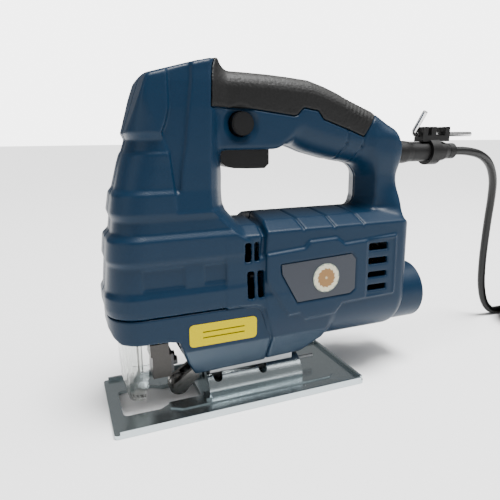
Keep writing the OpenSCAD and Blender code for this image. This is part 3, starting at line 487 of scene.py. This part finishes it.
def shader(
    name, colour, roughness, metallic=0.0, bump=0.0, grain=800.0, spread=0.08, glass=0.0, tint=0.1, shine=0.5
):
    """A finish with fine grain in its height, gloss and colour. Sizes of the grain are per metre."""
    material = bpy.data.materials.new(name)
    material.use_nodes = True
    nodes, links = material.node_tree.nodes, material.node_tree.links
    principled = nodes["Principled BSDF"]
    principled.inputs["Metallic"].default_value = metallic
    principled.inputs["Transmission Weight"].default_value = glass
    principled.inputs["Specular IOR Level"].default_value = shine
    place = nodes.new("ShaderNodeTexCoord")
    fine = nodes.new("ShaderNodeTexNoise")
    fine.inputs["Scale"].default_value = grain
    fine.inputs["Detail"].default_value = 3
    broad = nodes.new("ShaderNodeTexNoise")
    broad.inputs["Scale"].default_value = 24
    broad.inputs["Detail"].default_value = 4
    for noise in (fine, broad):
        links.new(place.outputs["Object"], noise.inputs["Vector"])
    ramp = nodes.new("ShaderNodeMapRange")
    ramp.inputs["To Min"].default_value = max(0.02, roughness - spread)
    ramp.inputs["To Max"].default_value = roughness + spread
    links.new(broad.outputs["Fac"], ramp.inputs["Value"])
    links.new(ramp.outputs["Result"], principled.inputs["Roughness"])
    mix = nodes.new("ShaderNodeMix")
    mix.data_type = "RGBA"
    mix.inputs["A"].default_value = (*[c * (1 - tint) for c in colour], 1)
    mix.inputs["B"].default_value = (*[min(1, c * (1 + tint)) for c in colour], 1)
    links.new(fine.outputs["Fac"], mix.inputs["Factor"])
    links.new(mix.outputs["Result"], principled.inputs["Base Color"])
    if bump:
        height = nodes.new("ShaderNodeBump")
        height.inputs["Strength"].default_value = bump
        height.inputs["Distance"].default_value = 0.0003
        links.new(fine.outputs["Fac"], height.inputs["Height"])
        links.new(height.outputs["Normal"], principled.inputs["Normal"])
    return material


def number(material, operation, a, b=0.0):
    """One sum in a material's nodes. Each of a and b is a number or another node's output."""
    node = material.node_tree.nodes.new("ShaderNodeMath")
    node.operation = operation
    for socket, value in zip(node.inputs, (a, b)):
        if isinstance(value, (int, float)):
            socket.default_value = value
        else:
            material.node_tree.links.new(value, socket)
    return node.outputs["Value"]


def from_centre(material, node_name):
    """X and Z from a CAD node's middle, as outputs of a material's nodes, and half its width and height."""
    nodes, links = material.node_tree.nodes, material.node_tree.links
    low, high = (Vector(c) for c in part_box(node_name))
    apart = nodes.new("ShaderNodeVectorMath")
    apart.operation = "SUBTRACT"
    apart.inputs[1].default_value = (low + high) / 2
    split = nodes.new("ShaderNodeSeparateXYZ")
    links.new(nodes.new("ShaderNodeTexCoord").outputs["Object"], apart.inputs[0])
    links.new(apart.outputs["Vector"], split.inputs["Vector"])
    return split.outputs["X"], split.outputs["Z"], (high.x - low.x) / 2, (high.z - low.z) / 2


def bands(material, value, stops):
    """Colours the material by value, one flat colour from each stop on."""
    nodes, links = material.node_tree.nodes, material.node_tree.links
    ramp = nodes.new("ShaderNodeValToRGB")
    ramp.color_ramp.interpolation = "CONSTANT"
    elements = ramp.color_ramp.elements
    while len(elements) < len(stops):
        elements.new(1)
    for element, (at, colour) in zip(elements, stops):
        element.position, element.color = at, (*colour, 1)
    links.new(value, ramp.inputs["Fac"])
    links.new(ramp.outputs["Color"], nodes["Principled BSDF"].inputs["Base Color"])


def emblem_finish():
    """A cream disc with a plain toothed wheel printed in its middle."""
    m = shader("emblem_print", (0.5, 0.46, 0.32), 0.4, bump=0.2, grain=900, shine=0.2)
    x, z, half, _ = from_centre(m, "emblem_disc")
    teeth = 14
    tooth = number(m, "FRACT", number(m, "MULTIPLY", number(m, "ARCTAN2", z, x), teeth / (2 * math.pi)))
    r = number(m, "SQRT", number(m, "ADD", number(m, "MULTIPLY", x, x), number(m, "MULTIPLY", z, z)))
    share = number(m, "ADD", number(m, "DIVIDE", r, half), number(m, "MULTIPLY", tooth, 0.1))
    hub, wheel, disc, rim = (0.45, 0.42, 0.28), (0.22, 0.12, 0.045), (0.5, 0.47, 0.34), (0.2, 0.24, 0.2)
    bands(m, share, [(0, hub), (0.12, wheel), (0.7, disc), (0.99, rim)])
    return m


def sticker_finish():
    """Plain yellow film with two plain dark bars."""
    yellow, dark = (0.5, 0.4, 0.0), (0.1, 0.085, 0.005)
    bar_z, bar_half_height, bar_share = 0.0017, 0.0004, 0.62
    m = shader("yellow_film", yellow, 0.5, bump=0.05, grain=900, tint=0.03, shine=0.0)
    x, z, wide, _ = from_centre(m, "yellow_sticker")
    off = number(m, "ABSOLUTE", number(m, "SUBTRACT", number(m, "ABSOLUTE", z), bar_z))
    in_row = number(m, "LESS_THAN", off, bar_half_height)
    in_length = number(m, "LESS_THAN", number(m, "ABSOLUTE", x), wide * bar_share)
    bands(m, number(m, "MULTIPLY", in_row, in_length), [(0, yellow), (0.5, dark)])
    return m


def grip_finish():
    """Black rubber, a little greyer where it faces up: painted light from above."""
    # grey is painted light: the rubber's colour where its faces look up
    grain, black, grey = 560, (0.0016, 0.0016, 0.0016, 1), (0.03, 0.03, 0.028, 1)
    m = shader("rubber_grip", (0.0, 0.0, 0.0), 0.5, bump=1.0, grain=grain, spread=0.06, shine=0.25)
    nodes, links = m.node_tree.nodes, m.node_tree.links
    split = nodes.new("ShaderNodeSeparateXYZ")
    links.new(nodes.new("ShaderNodeNewGeometry").outputs["Normal"], split.inputs["Vector"])
    # painted light: the upward normal mixes in the grey, standing in for the light from above
    painted_top_light = nodes.new("ShaderNodeMapRange")
    painted_top_light.inputs["From Min"].default_value, painted_top_light.inputs["From Max"].default_value = 0.25, 0.9
    links.new(split.outputs["Z"], painted_top_light.inputs["Value"])
    fine = next(n for n in nodes if n.type == "TEX_NOISE" and n.inputs["Scale"].default_value == grain)
    mix = nodes.new("ShaderNodeMix")
    mix.data_type = "RGBA"
    mix.inputs["A"].default_value, mix.inputs["B"].default_value = black, grey
    links.new(number(m, "MULTIPLY", painted_top_light.outputs["Result"], fine.outputs["Fac"]), mix.inputs["Factor"])
    links.new(mix.outputs["Result"], nodes["Principled BSDF"].inputs["Base Color"])
    return m


# Colour and roughness of each plain finish, and what else its shader is given
FINISHES = {
    "casing_plastic": ((0.0022, 0.0145, 0.034), 0.38, dict(bump=0.3, grain=1500, spread=0.05, shine=0.17)),
    "black_rubber": ((0.003, 0.003, 0.0031), 0.5, dict(bump=0.4, grain=900, spread=0.06, shine=0.25)),
    "cord_rubber": ((0.003, 0.003, 0.0031), 0.4, dict(bump=0.15, grain=700, spread=0.06, shine=0.3)),
    "black_plastic": ((0.002, 0.002, 0.0023), 0.4, dict(bump=0.15, grain=1100, shine=0.2)),
    "plug_plastic": ((0.005, 0.005, 0.0055), 0.42, dict(bump=0.15, grain=1000, shine=0.35)),
    "tie_wire": ((0.005, 0.005, 0.005), 0.35, dict(bump=0.1, grain=800, shine=0.4)),
    "clear_plastic": ((0.8, 0.82, 0.8), 0.08, dict(bump=0.03, grain=200, spread=0.03, glass=1.0)),
    "bright_steel": ((0.17, 0.165, 0.158), 0.26, dict(metallic=1.0, bump=0.05, grain=900)),
    "holder_steel": ((0.05, 0.048, 0.046), 0.35, dict(metallic=1.0, bump=0.2, grain=900)),
    "zinc_plate": ((0.46, 0.52, 0.54), 0.24, dict(metallic=1.0, bump=0.15, grain=700, spread=0.1)),
    "black_steel": ((0.05, 0.05, 0.052), 0.35, dict(metallic=0.8, bump=0.2, grain=900)),
    "cast_aluminium": ((0.42, 0.43, 0.44), 0.5, dict(metallic=1.0, bump=0.5, grain=500)),
    "bronze": ((0.48, 0.3, 0.14), 0.35, dict(metallic=1.0, bump=0.1, grain=800)),
    "gear_steel": ((0.3, 0.3, 0.31), 0.3, dict(metallic=1.0, bump=0.1, grain=900)),
    "laminated_steel": ((0.2, 0.2, 0.21), 0.5, dict(metallic=1.0, bump=0.4, grain=1500)),
    "copper": ((0.5, 0.19, 0.07), 0.3, dict(metallic=1.0, bump=0.5, grain=1500)),
    "carbon": ((0.02, 0.02, 0.02), 0.5, dict(bump=0.3, grain=2000)),
    "name_plate_film": ((0.007, 0.011, 0.02), 0.35, dict(bump=0.1, grain=1200, shine=0.4)),
    "rating_foil": ((0.55, 0.56, 0.57), 0.35, dict(metallic=0.8, bump=0.05, grain=900)),
    "capacitor_film": ((0.5, 0.33, 0.04), 0.3, dict(bump=0.05, grain=900)),
    "chrome_key": ((0.7, 0.7, 0.7), 0.16, dict(metallic=1.0, bump=0.03, grain=700)),
}


def make_materials():
    """One finish for each material slot of the record, and one more for the blade holder."""
    plain = {name: shader(name, colour, rough, **rest) for name, (colour, rough, rest) in FINISHES.items()}
    special = {"rubber_grip": grip_finish(), "emblem_print": emblem_finish(), "yellow_film": sticker_finish()}
    return {**plain, **special}


# ---------- building the scene ----------


def add_casing(materials):
    """The casing's halves, the grip's halves and the shroud, each from the left half's distance fields."""
    low, fields = casing_fields()
    for field in fields.values():
        blur(field)
    for name, half, node, slot, mirrored in (
        ("casing_left", "left", "housing_left", "casing_plastic", False),
        ("casing_right", "right", "housing_right", "casing_plastic", True),
        ("grip_skin_left", "grip", "grip_left", "rubber_grip", False),
        ("grip_skin_right", "grip", "grip_right", "rubber_grip", True),
    ):
        skin(name, fields[half], low, node, slot, materials, mirrored)
    half = fields["shroud"]
    first = int(round(-low[1] / VOXEL))
    both = np.concatenate([half[:, : first - 1 : -1], half[:, first + 1 :]], axis=1)
    left_y = low[1] + first * VOXEL - (half.shape[1] - first - 1) * VOXEL
    skin("shroud", both, (low[0], left_y, low[2]), "front_shroud", "casing_plastic", materials)


def add_floor():
    """A wide pale floor just under the sole."""
    floor = bpy.data.meshes.new("floor")
    half = 30.0
    corners = [(-half, -half, 0), (half, -half, 0), (half, half, 0), (-half, half, 0)]
    floor.from_pydata(corners, [], [(0, 1, 2, 3)])
    floor_piece = bpy.data.objects.new("floor", floor)
    floor_piece.location.z = -0.0002
    bpy.context.scene.collection.objects.link(floor_piece)
    floor.materials.append(shader("pale_floor", (0.94, 0.94, 0.94), 0.7, tint=0.005, grain=60, shine=0.1))


def add_world():
    """A dim world for the light and a bright one behind the picture."""
    world = bpy.data.worlds.new("studio")
    world.use_nodes = True
    nodes, links = world.node_tree.nodes, world.node_tree.links
    dim, bright, which, mix = nodes["Background"], *[
        nodes.new(f"ShaderNode{kind}") for kind in ("Background", "LightPath", "MixShader")
    ]
    dim.inputs["Color"].default_value = bright.inputs["Color"].default_value = (1, 1, 1, 1)
    dim.inputs["Strength"].default_value, bright.inputs["Strength"].default_value = 0.3, 5.0
    links.new(which.outputs["Is Camera Ray"], mix.inputs["Fac"])
    links.new(dim.outputs["Background"], mix.inputs[1])
    links.new(bright.outputs["Background"], mix.inputs[2])
    links.new(mix.outputs["Shader"], nodes["World Output"].inputs["Surface"])
    bpy.context.scene.world = world


def add_lights():
    """A broad sun from above and two soft panels, all aimed at the tool."""
    for name, kind, at, size, power in (
        ("key_light", "SUN", (-0.2, 0.15, 1.0), 0.5, 7.5),
        ("top_light", "AREA", (-0.5, 0.2, 0.9), 0.9, 8),
        ("front_light", "AREA", (0.9, 0.3, 0.5), 0.6, 2),
    ):
        data = bpy.data.lights.new(name, kind)
        data.energy = power
        if kind == "SUN":
            data.angle = size
        else:
            data.size = size
        light = bpy.data.objects.new(name, data)
        light.location = at
        light.rotation_euler = (Vector((-0.05, 0, 0.08)) - Vector(at)).to_track_quat("-Z", "Y").to_euler()
        bpy.context.scene.collection.objects.link(light)


def finish_cad(materials):
    """Bevels and finishes for the CAD pieces that stay shown, by the record's slots."""
    own_finish = {"blade_holder": "holder_steel", "roller_fork": "bright_steel"}
    for name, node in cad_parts.items():
        if node.hide_render:
            continue
        slot = node.data.materials[0].name.split(".")[0]
        node.data.materials.clear()
        node.data.materials.append(materials[own_finish.get(name, slot)])
        bevel = node.modifiers.new("edges", "BEVEL")
        bevel.width = 0.25 * MM
        bevel.segments = 2
        bevel.limit_method = "ANGLE"
        bevel.angle_limit = math.radians(38)


add_camera()
cord, cord_length = add_cord()
print("cord length", round(cord_length, 4))
materials = make_materials()
cord.data.materials.append(materials["cord_rubber"])
add_casing(materials)
finish_cad(materials)
add_floor()
add_world()
add_lights()
